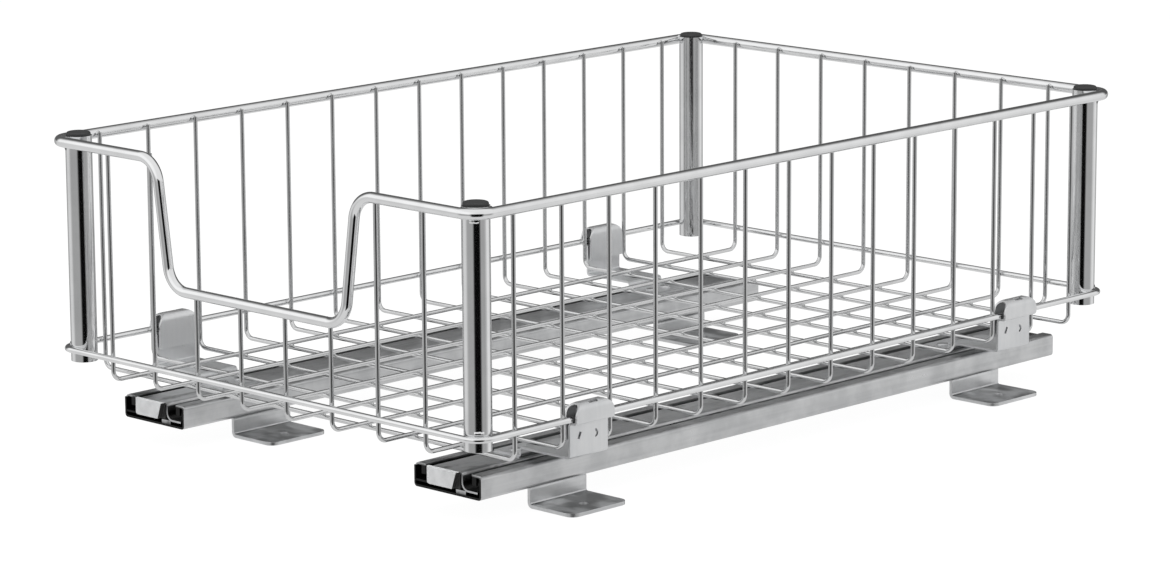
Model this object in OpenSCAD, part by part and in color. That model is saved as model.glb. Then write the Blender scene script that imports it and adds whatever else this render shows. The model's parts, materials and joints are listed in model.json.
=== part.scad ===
// Pull-out cabinet basket: a chromed wire basket on two ball-bearing slides,
// which stand on four Z-shaped feet that are screwed to the cabinet floor.
// +X is right, +Y goes to the back of the cabinet and +Z is up. The origin is
// at the middle of the footprint, on the surface that the feet stand on.

/* [Basket] */
// Distance between the left and right post centres
post_span_x = 301; // [296:1:340]
// Distance between the front and rear post centres
post_span_y = 480; // [472:1:500]
// Length of a corner post
post_len = 122.5; // [100:0.5:200]
// Outer diameter of a corner post
post_d = 14.3; // [12:0.1:18]
// Wall of a corner post
post_wall = 1; // [0.6:0.1:2]
// Height of the post bottoms above the surface that the feet stand on
post_bottom_z = 44; // [40:0.5:60]
// Diameter of the rod in the top rim
rim_d = 5.7; // [4:0.1:6.2]
// Depth of the rim's centre line below the post tops
rim_drop = 2.7; // [2.6:0.1:12]
// Diameter of the rod in the base ring
ring_d = 3.3; // [2.5:0.1:4]
// Height of the base ring's centre line above the post bottoms
ring_rise = 6.8; // [5.5:0.1:12]

/* [Front dip] */
// Half width of the dip where its sides meet the rim line
dip_top_half = 76; // [72:1:100]
// Half width of the dip where its sides meet the dip's floor line
dip_floor_half = 66.5; // [66:0.1:70]
// Depth of the dip below the rim line
dip_depth = 68; // [40:1:80]
// Bend radius of the rim rod in the dip
dip_bend_r = 14; // [8:0.5:16]

/* [Wires] */
// Diameter of the grid wires
wire_d = 2.4; // [1.8:0.1:3]
// Bend radius of a grid wire, at its centre line
wire_bend_r = 5; // [4:0.5:11]
// Depth of the cross wires' floor below the post bottoms
floor_drop = 8; // [7:0.5:10]
// Distance from a post's centre to the nearest cross wire
cross_setback = 19.585; // [14:0.005:27]
// Distance from a post's centre to the nearest long wire
long_setback = 30.905; // [26:0.005:34]
// Height of a wire's end above the rim rod's centre line
wire_end_rise = 1; // [0:0.1:2]
// Gap left by a weld between two rods that touch
weld_gap = 0.05; // [0.02:0.01:0.1]

/* [Post caps] */
// Height of a cap above its post
cap_h = 2.2; // [1.6:0.1:5]
// Radius of a cap's rounded edge
cap_round_r = 1.2; // [0.8:0.1:1.5]
// Distance from a cap's edge in to its post's outer face
cap_inset = 0.6; // [0:0.05:0.6]
// Length of a cap's plug inside its post
cap_plug_len = 8; // [4:0.5:15]
// Gap between a cap's plug and the tube
cap_plug_gap = 0.05; // [0.02:0.01:0.2]

/* [Slides] */
// Length of an outer member
slide_len = 457; // [452:1:465]
// Distance from the middle plane to the middle of a slide
slide_x = 112.4; // [105:0.1:118]
// Setback of an outer member's front end behind the front post centres
slide_setback = 15.5; // [5:0.5:20]
// How far the basket pulls out
slide_travel = 340; // [250:1:342]
// Width of an outer member
outer_w = 48; // [46:0.1:50]
// Height of an outer member
outer_h = 12.4; // [12:0.1:13]
// Sheet thickness of an outer member
outer_t = 1.2; // [1:0.1:1.4]
// Outside radius of an outer member's bends
outer_round_r = 2; // [1.6:0.1:2.6]
// Width of an outer member's top lip
lip_w = 7.5; // [6.5:0.1:8]
// Length cut off the lips at the front end
lip_cutback = 1; // [0.8:0.1:8]
// Width of an inner member's raised web
web_w = 23.2; // [22:0.1:24]
// Sheet thickness of an inner member
inner_t = 1; // [0.8:0.1:1.1]
// Inside radius between an inner member's web and its sides
web_round_r = 0.8; // [0.5:0.1:1]
// Radius of the curve between an inner member's side and its ball track
track_r = 3.6; // [2.5:0.1:4]
// Height of an inner member's web above the outer member's lips
web_proud = 0.4; // [0.3:0.1:1]
// Length of an inner member ahead of the outer member's front end
inner_ahead = 0.5; // [0:0.1:2]
// Running gap between parts that slide or roll past each other
slide_gap = 0.3; // [0.25:0.01:0.35]
// Gap between a ball track's edge and the outer member's wall
track_edge_gap = 0.8; // [0.5:0.1:1.2]
// Length of the rubber bumper at the back of an outer member
bumper_len = 8; // [5:0.5:10]
// Width of the front block under an inner member's web
block_w = 19.3; // [15:0.1:20]
// Length of the front block's plug
block_len = 12; // [8:0.5:20]
// Thickness of the front block's face, ahead of the inner member's front end
block_ahead = 3; // [2:0.1:4]
// Reach of the block's face past the inner member's left side
block_reach = 1.2; // [0:0.1:1.5]
// Slant of the face's right edge, and width of the bevel at its left edge
block_bevel = 3; // [1:0.1:4]
// Gap between a front block and the outer member's web
block_gap = 2.8; // [2.5:0.1:3]
// Height of the lug that turns up from the outer member's front edge
lug_h = 2.2; // [1:0.1:2.2]
// Width of the lug
lug_w = 7; // [3:0.1:8]

/* [Balls] */
// Diameter of a ball
ball_d = 6.35; // [6:0.05:6.4]
// Number of balls in a retainer
ball_count = 5; // [3:1:5]
// Distance between balls
ball_pitch = 20; // [16:0.5:20]
// Length of a ball retainer
retainer_len = 100; // [95:1:102]
// Thickness of a ball retainer
retainer_t = 0.8; // [0.6:0.1:1.2]
// Gap between a ball and its hole in the retainer
ball_gap = 0.1; // [0.05:0.01:0.15]
// Distance between a stop tab and the retainer that it holds back at full travel
stop_gap = 0.4; // [0.3:0.1:0.6]

/* [Brackets] */
// Sheet thickness of a bracket
bracket_t = 1.2; // [1:0.1:1.4]
// Inside bend radius of a bracket
bracket_bend_r = 1; // [0.6:0.1:1.1]
// Width of a bracket
bracket_w = 27.2; // [25:0.1:29]
// Outside depth of the hook that folds over the base ring
hook_depth = 8.9; // [8.5:0.1:9.5]
// Gap between the base ring and the hook's outer plate
hook_gap = 1; // [0.8:0.1:1.2]
// Height of the hook's crown above the base ring's centre line
hook_rise = 8.2; // [6:0.1:9]
// Radius of the hook's top corners
hook_corner_r = 7.5; // [3:0.1:8]
// Inside bend radius of the hook's crown
hook_bend_r = 2.8; // [1:0.1:2.8]
// Length of the hook's inner flap below the base ring's centre line
hook_flap = 11; // [2:0.1:12]
// Setback of the plate below the shelf from the hook's outer face
shelf_step = 5; // [4.6:0.1:5.4]
// Height of a bracket's arm above the slide's web, measured between centre lines
arm_rise = 4.6; // [3.6:0.1:5]
// Length of a bracket's base on the slide's web
base_len = 19; // [16:0.1:19.6]

/* [Feet] */
// Height of a foot
foot_h = 12.4; // [10:0.1:16]
// Sheet thickness of a foot
foot_t = 2; // [1.5:0.1:2.5]
// Inside bend radius of a foot
foot_bend_r = 1; // [0.6:0.1:1.4]
// Length of a foot from front to back
foot_len = 41; // [36:0.5:50]
// Width of the floor flange
foot_flange_w = 32; // [30:0.5:35]
// Radius of the floor flange's corners
foot_corner_r = 5; // [1:0.1:6]
// Width of the flange under the slide
foot_top_w = 31; // [26:0.5:38]
// Distance from the slide's middle to the foot's upright
foot_web_x = 16.7; // [14:0.1:20]
// Distance from a slide's end to the middle of its nearest foot
foot_inset = 61.5; // [40:0.5:90]
// Diameter of a foot's screw hole
foot_hole_d = 5; // [4:0.1:6]
// Distance from the floor flange's edge to the middle of its screw hole
foot_hole_edge = 12.5; // [9:0.5:18]

/* [Rivets] */
// Diameter of a rivet's shank
rivet_d = 4; // [3:0.1:4.5]
// Diameter of a rivet's head
rivet_head_d = 7; // [6:0.1:7.6]
// Height of a rivet's head
rivet_head_h = 1.2; // [0.8:0.1:1.4]
// Distance between the two rivets of a pair
rivet_pitch = 12; // [10:0.5:14]
// Gap between a rivet's shank and its hole
rivet_gap = 0.1; // [0.05:0.01:0.2]

/* [Hidden] */
$fn = 64;
cross_count = 14;
long_count = 8;
corners = [["front_left", -1, -1], ["front_right", 1, -1], ["rear_left", -1, 1], ["rear_right", 1, 1]];
sides = [["left", -1], ["right", 1]];
rows = [["left_inboard", -1, -1], ["left_outboard", -1, 1],
    ["right_inboard", 1, -1], ["right_outboard", 1, 1]];

function cross_name(i) = str("cross_wire_", i < 9 ? "0" : "", i + 1);
function long_name(i) = str("long_wire_", i + 1);

// Heights and planes of the basket
post_top_z = post_bottom_z + post_len;
rim_z = post_top_z - rim_drop;
ring_z = post_bottom_z + ring_rise;
rim_r = post_d / 2 + weld_gap + rim_d / 2;
ring_r = post_d / 2 + weld_gap + ring_d / 2;
cross_pitch = (post_span_y - 2 * cross_setback) / (cross_count - 1);
long_pitch = (post_span_x - 2 * long_setback) / (long_count - 1);
side_wire_x = post_span_x / 2 + post_d / 2 - wire_d / 2;
end_wire_y = post_span_y / 2 + post_d / 2 - wire_d / 2;
cross_floor_z = post_bottom_z - floor_drop;
long_floor_z = cross_floor_z + wire_d + weld_gap;
wire_top_z = rim_z + wire_end_rise;

// The dip's sides lean by this angle, and its bends take this length of the lines
dip_lean = atan((dip_top_half - dip_floor_half) / dip_depth);
dip_turn = 90 - dip_lean;
dip_tangent = dip_bend_r * tan(dip_turn / 2);
dip_floor_z = rim_z - dip_depth;
seam = 0.06;
rim_front_y = -post_span_y / 2 - rim_r;

// Heights in a slide are measured from the outer member's underside
slide_front_y = -post_span_y / 2 + slide_setback;
slide_back_y = slide_front_y + slide_len;
outer_half = outer_w / 2;
wall_x = outer_half - outer_t;
lip_z = outer_h - outer_t;
web_top = outer_h + web_proud;
inner_front_y = slide_front_y - inner_ahead;
inner_back_y = slide_back_y - bumper_len - slide_gap;
track_top = lip_z - ball_d - 2 * slide_gap;
track_edge = wall_x - track_edge_gap;
ball_z = track_top + slide_gap + ball_d / 2;
retainer_edge = wall_x - slide_gap;
retainer_in = web_w / 2 + slide_gap + ball_gap;
hole_edge = 1.1;
ball_x = retainer_edge - hole_edge - ball_gap - ball_d / 2;
tab_t = outer_t;
tab_w = 3;
retainer_front_y = slide_front_y + lip_cutback + tab_t + stop_gap + slide_travel / 2;

// Brackets stand between the second and third cross wires from each end
bracket_y = cross_pitch * (cross_count / 2 - 2);
ring_x = post_span_x / 2 + ring_r;
hook_out_x = ring_x + ring_d / 2 + hook_gap + bracket_t / 2;
hook_in_x = hook_out_x + bracket_t - hook_depth;
plate_x = hook_out_x - shelf_step;
shelf_z = ring_z - ring_d / 2 - weld_gap - bracket_t / 2;
crown_z = ring_z + hook_rise - bracket_t / 2;
base_z = foot_h + web_top + bracket_t / 2;
arm_z = base_z + arm_rise;
base_out_x = slide_x + web_w / 2 - 1.2;
base_in_x = base_out_x - base_len;
base_rivet_x = slide_x;
foot_ys = [slide_front_y + foot_inset, slide_back_y - foot_inset];

// A quarter ring between two straight runs of sheet: u is the direction before
// the bend, v the one after it, both along an axis
module sheet_bend(p, u, v, r, t) {
    left = u.x * v.y - u.y * v.x > 0;
    translate(p + r * (v - u))
        intersection() {
            difference() {
                circle(r = r + t / 2);
                circle(r = r - t / 2);
            }
            rotate(atan2(u.y, u.x) - (left ? 90 : 0))
                square(r + t);
        }
}

// Sheet seen from its edge: straight runs along the axes through the points,
// with a quarter bend at each point; bends holds their centre-line radii, and
// is 0 at both ends
module bent_sheet(points, bends, t) {
    last = len(points) - 1;
    function way(i) = (points[i + 1] - points[i]) / norm(points[i + 1] - points[i]);
    for (i = [0:last - 1]) {
        from = points[i] + way(i) * bends[i];
        to = points[i + 1] - way(i) * bends[i + 1];
        side = [-way(i).y, way(i).x] * t / 2;
        polygon([from - side, to - side, to + side, from + side]);
    }
    for (i = [1:last - 1])
        sheet_bend(points[i], way(i - 1), way(i), bends[i], t);
}

// Extrudes an outline drawn in X and Z along Y
module along_y(from, to) {
    translate([0, to, 0])
        rotate([90, 0, 0])
            linear_extrude(to - from)
                children();
}

module bar(from, to, d) {
    way = to - from;
    translate(from)
        rotate([0, acos(way.z / norm(way)), atan2(way.y, way.x)])
            cylinder(d = d, h = norm(way));
}

// Rod bend in the XY plane, round from start by angle
module rod_bend(start, angle, d, r) {
    rotate_extrude(start = start, angle = angle)
        translate([r, 0])
            circle(d = d);
}

module upright_bend(x, y, z, start, angle, d, r) {
    translate([x, y, z])
        rotate([90, 0, 0])
            rod_bend(start, angle, d, r);
}

// Quarter bends round the four posts, and the straight rods on three sides
module post_loop(z, r, d) {
    x = post_span_x / 2;
    y = post_span_y / 2;
    for (c = [[x, y, 0], [-x, y, 90], [-x, -y, 180], [x, -y, 270]])
        translate([c.x, c.y, z])
            rod_bend(c.z, 90, d, r);
    for (s = [-1, 1])
        bar([s * (x + r), -y, z], [s * (x + r), y, z], d);
    bar([-x, y + r, z], [x, y + r, z], d);
}

// Left half of the dip's outline. Where the leaning side meets its bends, a
// ball that stands a hair proud of the rod closes the seam
module dip_left() {
    top = [-dip_top_half - dip_tangent, rim_front_y, rim_z - dip_bend_r];
    low = [-dip_floor_half + dip_tangent, rim_front_y, dip_floor_z + dip_bend_r];
    out = [cos(dip_lean), 0, sin(dip_lean)] * dip_bend_r;
    down = [sin(dip_lean), 0, -cos(dip_lean)] * seam;
    bar([-post_span_x / 2, rim_front_y, rim_z], [top.x, rim_front_y, rim_z], rim_d);
    upright_bend(top.x, rim_front_y, top.z, 90, -dip_turn, rim_d, dip_bend_r);
    bar(top + out + down, low - out - down, rim_d);
    for (p = [top + out, low - out])
        translate(p) sphere(d = rim_d + seam / 2);
    upright_bend(low.x, rim_front_y, low.z, 270, -dip_turn, rim_d, dip_bend_r);
}

module dip() {
    x = dip_floor_half - dip_tangent;
    dip_left();
    mirror([1, 0, 0]) dip_left();
    bar([-x, rim_front_y, dip_floor_z], [x, rim_front_y, dip_floor_z], rim_d);
}

module top_rim() {
    color("silver") {
        dip();
        post_loop(rim_z, rim_r, rim_d);
    }
}

module base_ring() {
    y = -post_span_y / 2 - ring_r;
    color("silver") {
        post_loop(ring_z, ring_r, ring_d);
        bar([-post_span_x / 2, y, ring_z], [post_span_x / 2, y, ring_z], ring_d);
    }
}

module post(sx, sy) {
    color("silver")
        translate([sx * post_span_x / 2, sy * post_span_y / 2, post_bottom_z])
            difference() {
                cylinder(d = post_d, h = post_len);
                translate([0, 0, -1])
                    cylinder(d = post_d - 2 * post_wall, h = post_len + 2);
            }
}

module post_cap(sx, sy) {
    plug_r = post_d / 2 - post_wall - cap_plug_gap;
    r = post_d / 2 - cap_inset;
    color("#454545")
        translate([sx * post_span_x / 2, sy * post_span_y / 2, post_top_z]) {
            rotate_extrude() {
                square([r, cap_h - cap_round_r]);
                square([r - cap_round_r, cap_h]);
                translate([r - cap_round_r, cap_h - cap_round_r])
                    intersection() {
                        circle(r = cap_round_r);
                        square(cap_round_r);
                    }
            }
            translate([0, 0, -cap_plug_len])
                cylinder(r = plug_r, h = cap_plug_len);
        }
}

// A wire that goes down one side, along the floor and up the other side, in
// the XZ plane: half is half its width, left_z and right_z are its ends
module u_wire(half, floor_z, left_z, right_z) {
    r = wire_bend_r;
    bar([-half, 0, floor_z + r], [-half, 0, left_z], wire_d);
    bar([half, 0, floor_z + r], [half, 0, right_z], wire_d);
    bar([-half + r, 0, floor_z], [half - r, 0, floor_z], wire_d);
    upright_bend(-half + r, 0, floor_z + r, 180, 90, wire_d, r);
    upright_bend(half - r, 0, floor_z + r, 270, 90, wire_d, r);
}

module cross_wire(i) {
    color("silver")
        translate([0, (i - (cross_count - 1) / 2) * cross_pitch, 0])
            u_wire(side_wire_x, cross_floor_z, wire_top_z, wire_top_z);
}

module long_wire(i) {
    x = (i - (long_count - 1) / 2) * long_pitch;
    front_z = (abs(x) < dip_floor_half ? dip_floor_z : rim_z) + wire_end_rise;
    color("silver")
        translate([x, 0, 0])
            rotate([0, 0, 90])
                u_wire(end_wire_y, long_floor_z, front_z, wire_top_z);
}

module outer_section() {
    r = outer_round_r;
    difference() {
        rounded_box(outer_w, outer_h, r);
        translate([0, outer_t])
            rounded_box(outer_w - 2 * outer_t, outer_h - 2 * outer_t, r - outer_t);
        translate([-outer_half + lip_w, lip_z - 0.1])
            square([outer_w - 2 * lip_w, outer_t + 1]);
    }
}

// Rounded rectangle that stands on the X axis, centred
module rounded_box(w, h, r) {
    translate([-w / 2, r]) square([w, h - 2 * r]);
    translate([-w / 2 + r, 0]) square([w - 2 * r, h]);
    for (x = [-w / 2 + r, w / 2 - r], z = [r, h - r])
        translate([x, z]) circle(r = r);
}

module outer_slide(s) {
    color("lightgray")
        translate([s * slide_x, 0, foot_h])
            difference() {
                union() {
                    along_y(slide_front_y, slide_back_y) outer_section();
                    for (m = [-1, 1])
                        translate([m * ball_x - tab_w / 2, slide_front_y + lip_cutback, ball_z - retainer_t])
                            cube([tab_w, tab_t, lip_z + outer_t / 2 - ball_z + retainer_t]);
                    translate([block_w / 2 - lug_w / 2, slide_front_y, outer_t / 2])
                        cube([lug_w, outer_t, lug_h + outer_t / 2]);
                }
                translate([-outer_half - 1, slide_front_y - 1, lip_z - 0.1])
                    cube([outer_w + 2, lip_cutback + 1, outer_t + 1]);
                for (y = foot_ys, m = [-1, 1])
                    translate([0, y + m * rivet_pitch / 2, -1])
                        cylinder(d = rivet_d + 2 * rivet_gap, h = outer_t + 2);
            }
}

module inner_half() {
    web_c = web_top - inner_t / 2;
    side_c = web_w / 2 - inner_t / 2;
    track_c = track_top - inner_t / 2;
    r = web_round_r + inner_t / 2;
    track_bend = track_r + inner_t / 2;
    translate([0, web_c - inner_t / 2]) square([side_c - r, inner_t]);
    sheet_bend([side_c, web_c], [1, 0], [0, -1], r, inner_t);
    translate([side_c - inner_t / 2, track_c + track_bend])
        square([inner_t, web_c - r - track_c - track_bend]);
    sheet_bend([side_c, track_c], [0, -1], [1, 0], track_bend, inner_t);
    translate([side_c + track_bend, track_c - inner_t / 2])
        square([track_edge - side_c - track_bend, inner_t]);
}

module inner_slide(s) {
    stop_in = web_w / 2 + track_r;
    color("lightgray")
        translate([s * slide_x, 0, foot_h])
            difference() {
                union() {
                    along_y(inner_front_y, inner_back_y) {
                        inner_half();
                        mirror([1, 0]) inner_half();
                    }
                    for (m = [-1, 1])
                        mirror([m < 0 ? 1 : 0, 0, 0])
                            translate([stop_in, inner_back_y - tab_t, track_top - inner_t / 2])
                                cube([track_edge - stop_in, tab_t, ball_z - track_top + retainer_t]);
                }
                for (n = [-1, 1], m = [-1, 1])
                    translate([0, n * bracket_y + m * rivet_pitch / 2, web_top - inner_t - 1])
                        cylinder(d = rivet_d + 2 * rivet_gap, h = inner_t + 2);
            }
}

// The block's face covers the end of the inner member's web and reaches past its
// left side on both slides. Its plug fills the space under the web
module front_block(s) {
    low = outer_t + block_gap;
    left = -web_w / 2 - block_reach;
    right = block_w / 2;
    front = -block_ahead;
    color("gainsboro")
        translate([s * slide_x, inner_front_y, foot_h]) {
            intersection() {
                linear_extrude(web_top)
                    polygon([[left, 0], [left, front + block_ahead / 2], [left + block_bevel, front],
                        [right, front], [right, 0]]);
                along_y(front - 1, 1)
                    polygon([[left - 1, low], [right - block_bevel, low], [right, web_top],
                        [left - 1, web_top]]);
            }
            translate([-block_w / 2, 0, low])
                cube([block_w, block_len, web_top - inner_t - low]);
        }
}

module rear_bumper(s) {
    color("#303030")
        translate([s * slide_x, 0, foot_h + outer_t])
            along_y(slide_back_y - bumper_len, slide_back_y)
                rounded_box(2 * (wall_x - weld_gap), lip_z - outer_t - weld_gap, outer_round_r - outer_t);
}

function ball_y(i) = retainer_front_y + retainer_len / 2 + (i - (ball_count - 1) / 2) * ball_pitch;

module retainer(s, m) {
    color("silver")
        translate([s * slide_x, 0, foot_h + ball_z - retainer_t / 2])
            mirror([s * m < 0 ? 1 : 0, 0, 0])
                difference() {
                    translate([retainer_in, retainer_front_y, 0])
                        cube([retainer_edge - retainer_in, retainer_len, retainer_t]);
                    for (i = [0:ball_count - 1])
                        translate([ball_x, ball_y(i), -1])
                            cylinder(d = ball_d + 2 * ball_gap, h = retainer_t + 2);
                }
}

module balls(s, m) {
    color("gray")
        for (i = [0:ball_count - 1])
            translate([s * slide_x + s * m * ball_x, ball_y(i), foot_h + ball_z])
                sphere(d = ball_d);
}

// The bracket's sheet from its base on the slide up to the hook, in X and Z
function bracket_path() = [
    [base_in_x, base_z], [base_out_x, base_z], [base_out_x, arm_z], [plate_x, arm_z],
    [plate_x, shelf_z], [hook_out_x, shelf_z], [hook_out_x, crown_z], [hook_in_x, crown_z],
    [hook_in_x, ring_z - hook_flap]];

// The bracket seen from its side, in Y and Z, with the hook's rounded top corners
module bracket_outline() {
    low = base_z - bracket_t;
    top = crown_z + bracket_t / 2;
    r = hook_corner_r;
    translate([-bracket_w / 2, low]) square([bracket_w, top - r - low]);
    translate([-bracket_w / 2 + r, shelf_z]) square([bracket_w - 2 * r, top - shelf_z + 1]);
    for (m = [-1, 1])
        translate([m * (bracket_w / 2 - r), top - r]) circle(r = r);
}

// Two small lances in the plate, one slanted and one round
module lance_marks() {
    depth = 2 * bracket_t;
    translate([plate_x, -bracket_w / 4, ring_z - 9.4])
        rotate([-25, 0, 0])
            cube([depth, 1.6, 3.8], center = true);
    translate([plate_x, bracket_w / 6, ring_z - 10])
        rotate([0, 90, 0])
            intersection() {
                difference() {
                    cylinder(r = 2.2, h = depth, center = true);
                    cylinder(r = 0.9, h = depth + 1, center = true);
                }
                translate([-3, 0, -depth]) cube([6, 3, 2 * depth]);
            }
}

module bracket(sx, sy) {
    r = bracket_bend_r + bracket_t / 2;
    crown_r = hook_bend_r + bracket_t / 2;
    color("lightgray")
        mirror([sx < 0 ? 1 : 0, 0, 0])
            translate([0, sy * bracket_y, 0])
                difference() {
                    intersection() {
                        along_y(-bracket_w / 2, bracket_w / 2)
                            bent_sheet(bracket_path(), [0, r, r, r, r, r, crown_r, crown_r, 0], bracket_t);
                        rotate([90, 0, 90])
                            linear_extrude(2 * hook_out_x)
                                bracket_outline();
                    }
                    lance_marks();
                    translate([(hook_in_x + hook_out_x) / 2 + 2, 0, crown_z - 1])
                        cube([2.2, 6.3, 4], center = true);
                    for (m = [-1, 1])
                        translate([base_rivet_x, m * rivet_pitch / 2, base_z])
                            cylinder(d = rivet_d + 2 * rivet_gap, h = 3 * bracket_t, center = true);
                }
}

// A rivet along Z through the sheets between two heights
module rivet(from, to) {
    translate([0, 0, from - rivet_head_h]) cylinder(d = rivet_head_d, h = rivet_head_h);
    translate([0, 0, from]) cylinder(d = rivet_d, h = to - from);
    translate([0, 0, to]) cylinder(d = rivet_head_d, h = rivet_head_h);
}

module bracket_rivets() {
    color("gainsboro")
        for (s = [-1, 1], n = [-1, 1], m = [-1, 1])
            translate([s * slide_x, n * bracket_y + m * rivet_pitch / 2, 0])
                rivet(foot_h + web_top - inner_t, foot_h + web_top + bracket_t);
}

// Both slides' feet point to the right
module foot(sx, sy) {
    r = foot_bend_r + foot_t / 2;
    flange_end = foot_web_x - foot_t / 2 + foot_flange_w;
    top_end = foot_web_x + foot_t / 2 - foot_top_w;
    y = foot_ys[sy < 0 ? 0 : 1];
    color("lightgray")
        translate([sx * slide_x, y, 0])
            difference() {
                intersection() {
                    along_y(-foot_len / 2, foot_len / 2)
                        bent_sheet([[top_end, foot_h - foot_t / 2], [foot_web_x, foot_h - foot_t / 2],
                            [foot_web_x, foot_t / 2], [flange_end, foot_t / 2]], [0, r, r, 0], foot_t);
                    translate([(top_end + flange_end) / 2, -foot_len / 2, -1])
                        linear_extrude(foot_h + 2)
                            rounded_box(flange_end - top_end, foot_len, foot_corner_r);
                }
                translate([flange_end - foot_hole_edge, 0, -1])
                    cylinder(d = foot_hole_d, h = foot_t + 2);
                for (m = [-1, 1])
                    translate([0, m * rivet_pitch / 2, foot_h - foot_t - 1])
                        cylinder(d = rivet_d + 2 * rivet_gap, h = foot_t + 2);
            }
}

module foot_rivets() {
    color("gainsboro")
        for (s = [-1, 1], y = foot_ys, m = [-1, 1])
            translate([s * slide_x, y + m * rivet_pitch / 2, 0])
                rivet(foot_h - foot_t, foot_h + outer_t);
}

top_rim();
base_ring();
for (c = corners) {
    post(c[1], c[2]);
    post_cap(c[1], c[2]);
    bracket(c[1], c[2]);
    foot(c[1], c[2]);
}
for (i = [0:cross_count - 1])
    cross_wire(i);
for (i = [0:long_count - 1])
    long_wire(i);
for (s = sides) {
    inner_slide(s[1]);
    front_block(s[1]);
    outer_slide(s[1]);
    rear_bumper(s[1]);
}
for (r = rows) {
    retainer(r[1], r[2]);
    balls(r[1], r[2]);
}
bracket_rivets();
foot_rivets();
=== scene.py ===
import json
import math

import bmesh
import bpy
from mathutils import Matrix, Vector

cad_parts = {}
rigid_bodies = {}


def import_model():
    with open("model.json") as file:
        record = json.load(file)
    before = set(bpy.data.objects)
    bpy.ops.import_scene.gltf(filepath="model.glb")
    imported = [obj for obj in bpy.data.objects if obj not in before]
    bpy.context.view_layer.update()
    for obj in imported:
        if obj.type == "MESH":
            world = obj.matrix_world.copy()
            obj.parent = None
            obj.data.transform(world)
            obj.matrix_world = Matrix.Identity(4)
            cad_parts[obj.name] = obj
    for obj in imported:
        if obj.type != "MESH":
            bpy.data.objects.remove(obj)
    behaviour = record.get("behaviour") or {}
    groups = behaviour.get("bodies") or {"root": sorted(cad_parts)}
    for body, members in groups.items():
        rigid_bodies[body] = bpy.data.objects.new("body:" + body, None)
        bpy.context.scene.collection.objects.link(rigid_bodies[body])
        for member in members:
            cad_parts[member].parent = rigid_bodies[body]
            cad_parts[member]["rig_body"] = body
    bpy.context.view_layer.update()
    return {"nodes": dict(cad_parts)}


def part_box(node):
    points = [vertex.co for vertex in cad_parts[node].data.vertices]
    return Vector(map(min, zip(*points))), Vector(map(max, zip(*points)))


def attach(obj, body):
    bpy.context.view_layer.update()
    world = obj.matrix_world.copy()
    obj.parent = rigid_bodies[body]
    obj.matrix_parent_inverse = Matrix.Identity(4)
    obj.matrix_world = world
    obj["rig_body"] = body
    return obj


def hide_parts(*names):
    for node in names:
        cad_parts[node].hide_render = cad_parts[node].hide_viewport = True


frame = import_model()
mm = 0.001
print("frame loaded:", len(frame["nodes"]), "nodes")


# Small helpers for node trees

class Wire:
    # A socket of a node tree; arithmetic on it adds Math nodes
    def __init__(self, tree, socket):
        self.tree = tree
        self.socket = socket

    def math(self, operation, *values):
        inputs = dict(enumerate((self,) + values))
        return addNode(self.tree, "ShaderNodeMath", {"operation": operation}, inputs)

    def __add__(self, other):
        return self.math("ADD", other)

    def __radd__(self, other):
        return self.math("ADD", other)

    def __sub__(self, other):
        return self.math("SUBTRACT", other)

    def __rsub__(self, other):
        return addNode(self.tree, "ShaderNodeMath", {"operation": "SUBTRACT"}, {0: other, 1: self})

    def __mul__(self, other):
        return self.math("MULTIPLY", other)

    def __rmul__(self, other):
        return self.math("MULTIPLY", other)

    def ramp(self, low, high, toLow=0.0, toHigh=1.0):
        # Smooth step from toLow to toHigh as the value goes from low to high
        settings = {"interpolation_type": "SMOOTHSTEP"}
        inputs = {"Value": self, "From Min": low, "From Max": high, "To Min": toLow, "To Max": toHigh}
        return addNode(self.tree, "ShaderNodeMapRange", settings, inputs)


def addNode(tree, kind, settings=None, inputs=None, output=0):
    node = tree.nodes.new(kind)
    for name, value in (settings or {}).items():
        setattr(node, name, value)
    for name, value in (inputs or {}).items():
        socket = node.inputs[name]
        if isinstance(value, Wire):
            tree.links.new(value.socket, socket)
        else:
            socket.default_value = value
    return None if output is None else Wire(tree, node.outputs[output])


def mixColours(tree, factor, first, second):
    # 6, 7 and 2 are the Mix node's colour sockets
    return addNode(tree, "ShaderNodeMix", {"data_type": "RGBA"}, {0: factor, 6: first, 7: second}, 2)


def grey(level, tint=0.0):
    return (level * (1 - tint), level, level * (1 + tint), 1.0)


# Camera, floor, lamps and world

camera = {
    "place": (1.6974, -1.7591, 0.5714),
    "yaw": 44.12,  # degrees to the left of +Y
    "pitch": 11.65,  # degrees down
    "roll": -0.31,
    "lens": 139.4,
    "sensor": 36.0,
    "near": 0.05,
    "far": 50,
}


def makeCamera():
    data = bpy.data.cameras.new("camera")
    data.sensor_fit = "HORIZONTAL"
    data.sensor_width = camera["sensor"]
    data.lens = camera["lens"]
    data.clip_start = camera["near"]
    data.clip_end = camera["far"]
    made = bpy.data.objects.new("camera", data)
    bpy.context.scene.collection.objects.link(made)
    turn = Matrix.Rotation(math.radians(camera["yaw"]), 4, "Z")
    turn = turn @ Matrix.Rotation(math.radians(90 - camera["pitch"]), 4, "X")
    turn = turn @ Matrix.Rotation(math.radians(camera["roll"]), 4, "Z")
    made.matrix_world = Matrix.Translation(camera["place"]) @ turn
    bpy.context.scene.camera = made


stage = {
    "floorHalf": 8.0,
    "floorDepth": 0.3 * mm,  # below the feet
    "floorAlbedo": 0.8,
    "shadowShare": 0.09,  # share of the floor's brightness that a shadow can take
    "floorGlow": 0.95,
    "flagPlace": (0.92, -0.85),  # black flag beside the camera, which the chrome reflects
    "flagAlbedo": 0.005,
    "flagWidth": 1.36,
    "flagLow": -0.75,
    "flagHigh": 0.36,
    "flagSoft": 0.5,  # share of the flag's half width that fades out at each side
}


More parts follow.
